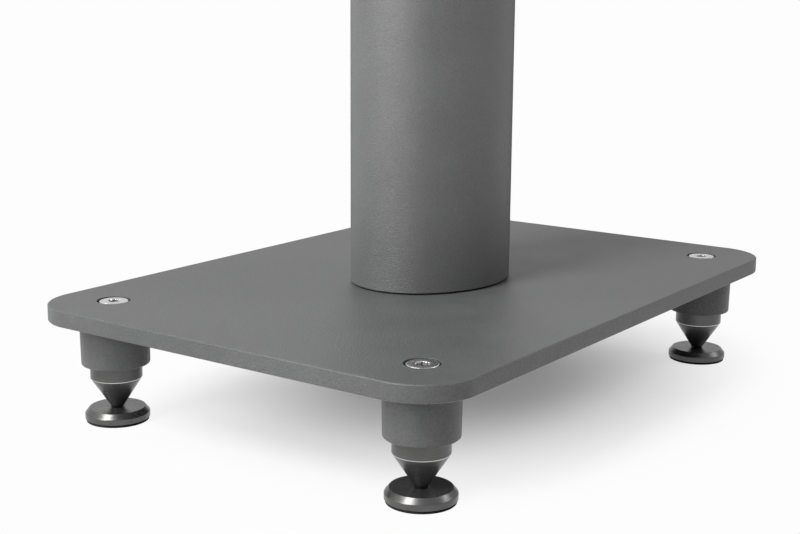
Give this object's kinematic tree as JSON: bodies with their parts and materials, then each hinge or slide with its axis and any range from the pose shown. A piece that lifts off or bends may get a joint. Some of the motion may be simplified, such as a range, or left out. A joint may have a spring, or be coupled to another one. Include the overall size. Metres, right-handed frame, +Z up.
{
  "type": "speaker stand",
  "caption": "Floor stand for a loudspeaker: base plate on levelling spike feet with floor discs, oval column and top plate.",
  "frame": {"origin": "centre of the footprint at floor level, under the pads of the floor discs", "axes": "+X to the right seen from the front, -Y to the front (a short side of the base plate), +Z up"},
  "size_m": [0.238, 0.335, 0.6021],
  "materials": {
    "plate_paint": "fine satin powder coat, mid grey",
    "column_paint": "fine satin powder coat, mid grey",
    "bright_steel": "satin stainless steel",
    "dark_steel": "dark polished gunmetal",
    "brass": "machined brass",
    "rubber": "matt black rubber"
  },
  "bodies": {
    "stand": {"base_plate": "plate_paint", "column": "column_paint", "column_base_gasket": "rubber", "column_top_gasket": "rubber", "top_plate": "plate_paint", "base_screws": "bright_steel", "top_screws": "bright_steel", "speaker_pads": "rubber", "foot_housing_front_left": "plate_paint", "foot_housing_front_right": "plate_paint", "foot_housing_back_left": "plate_paint", "foot_housing_back_right": "plate_paint", "thread_bush_front_left": "brass", "thread_bush_front_right": "brass", "thread_bush_back_left": "brass", "thread_bush_back_right": "brass"},
    "disc_front_left": {"floor_disc_front_left": "dark_steel", "disc_pad_front_left": "rubber"},
    "spike_front_left": {"spike_front_left": "dark_steel", "adjuster_front_left": "bright_steel"},
    "disc_front_right": {"floor_disc_front_right": "dark_steel", "disc_pad_front_right": "rubber"},
    "spike_front_right": {"spike_front_right": "dark_steel", "adjuster_front_right": "bright_steel"},
    "disc_back_left": {"floor_disc_back_left": "dark_steel", "disc_pad_back_left": "rubber"},
    "spike_back_left": {"spike_back_left": "dark_steel", "adjuster_back_left": "bright_steel"},
    "disc_back_right": {"floor_disc_back_right": "dark_steel", "disc_pad_back_right": "rubber"},
    "spike_back_right": {"spike_back_right": "dark_steel", "adjuster_back_right": "bright_steel"}
  },
  "joints": [
    {"name": "level_front_left", "type": "slide", "parent": "stand", "child": "disc_front_left", "axis": [0, 0, -1], "range_m": [-0.005, 0.005]},
    {"name": "turn_front_left", "type": "hinge", "parent": "disc_front_left", "child": "spike_front_left", "pos_m": [-0.0905, -0.137, 0], "axis": [0, 0, -1], "range_deg": [-1200, 1200]},
    {"name": "level_front_right", "type": "slide", "parent": "stand", "child": "disc_front_right", "axis": [0, 0, -1], "range_m": [-0.005, 0.005]},
    {"name": "turn_front_right", "type": "hinge", "parent": "disc_front_right", "child": "spike_front_right", "pos_m": [0.0905, -0.137, 0], "axis": [0, 0, -1], "range_deg": [-1200, 1200]},
    {"name": "level_back_left", "type": "slide", "parent": "stand", "child": "disc_back_left", "axis": [0, 0, -1], "range_m": [-0.005, 0.005]},
    {"name": "turn_back_left", "type": "hinge", "parent": "disc_back_left", "child": "spike_back_left", "pos_m": [-0.0905, 0.137, 0], "axis": [0, 0, -1], "range_deg": [-1200, 1200]},
    {"name": "level_back_right", "type": "slide", "parent": "stand", "child": "disc_back_right", "axis": [0, 0, -1], "range_m": [-0.005, 0.005]},
    {"name": "turn_back_right", "type": "hinge", "parent": "disc_back_right", "child": "spike_back_right", "pos_m": [0.0905, 0.137, 0], "axis": [0, 0, -1], "range_deg": [-1200, 1200]}
  ],
  "couplings": [
    {"joint": "turn_front_left", "follows": "level_front_left", "rad_per_m": 4188.8},
    {"joint": "turn_front_right", "follows": "level_front_right", "rad_per_m": 4188.8},
    {"joint": "turn_back_left", "follows": "level_back_left", "rad_per_m": 4188.8},
    {"joint": "turn_back_right", "follows": "level_back_right", "rad_per_m": 4188.8}
  ]
}
